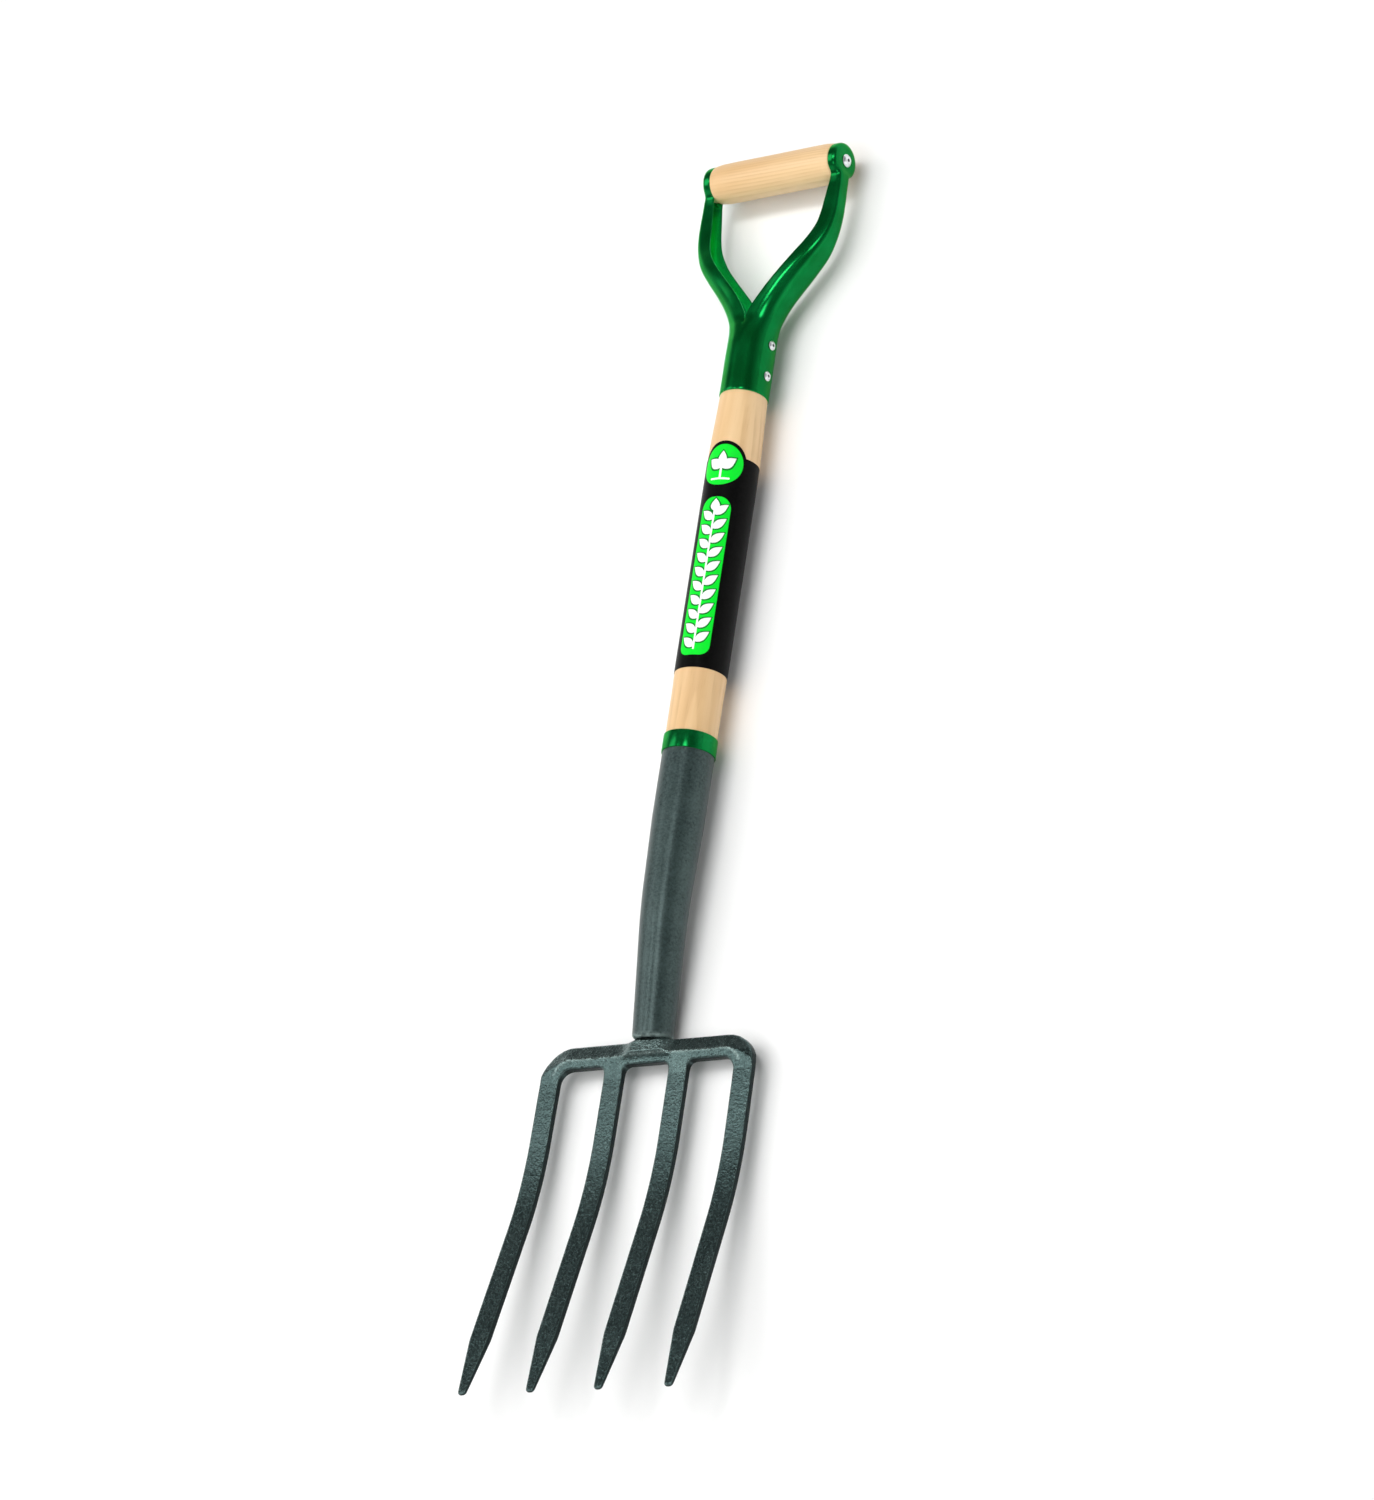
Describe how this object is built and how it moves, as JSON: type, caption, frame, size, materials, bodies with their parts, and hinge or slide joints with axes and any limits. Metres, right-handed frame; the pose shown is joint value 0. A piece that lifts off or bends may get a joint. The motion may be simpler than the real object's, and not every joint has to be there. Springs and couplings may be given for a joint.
{
  "type": "digging fork",
  "caption": "Four-tined digging fork with a cranked steel ferrule, a turned wooden shaft and a riveted D-shaped handle with a wooden cross grip.",
  "frame": {"origin": "bottom centre of the bounding box, with the fork lying on its back", "axes": "+X across the tines, +Y along the shaft towards the cross grip, +Z out of the front, the hollow side of the tines"},
  "size_m": [0.2014, 1.004, 0.056],
  "materials": {
    "enamelled_steel": "glossy hammered",
    "green_enamel": "gloss",
    "ash_wood": "satin varnish",
    "zinc_steel": "satin",
    "printed_film": "semi-gloss print"
  },
  "bodies": {
    "root": {"fork_head": "enamelled_steel", "ferrule": "enamelled_steel", "ferrule_pin": "zinc_steel", "shaft": "ash_wood", "collar": "green_enamel", "label": "printed_film", "yoke": "green_enamel", "yoke_rivet_lower": "zinc_steel", "yoke_rivet_upper": "zinc_steel", "cross_grip": "ash_wood", "grip_rivet": "zinc_steel"}
  },
  "joints": []
}
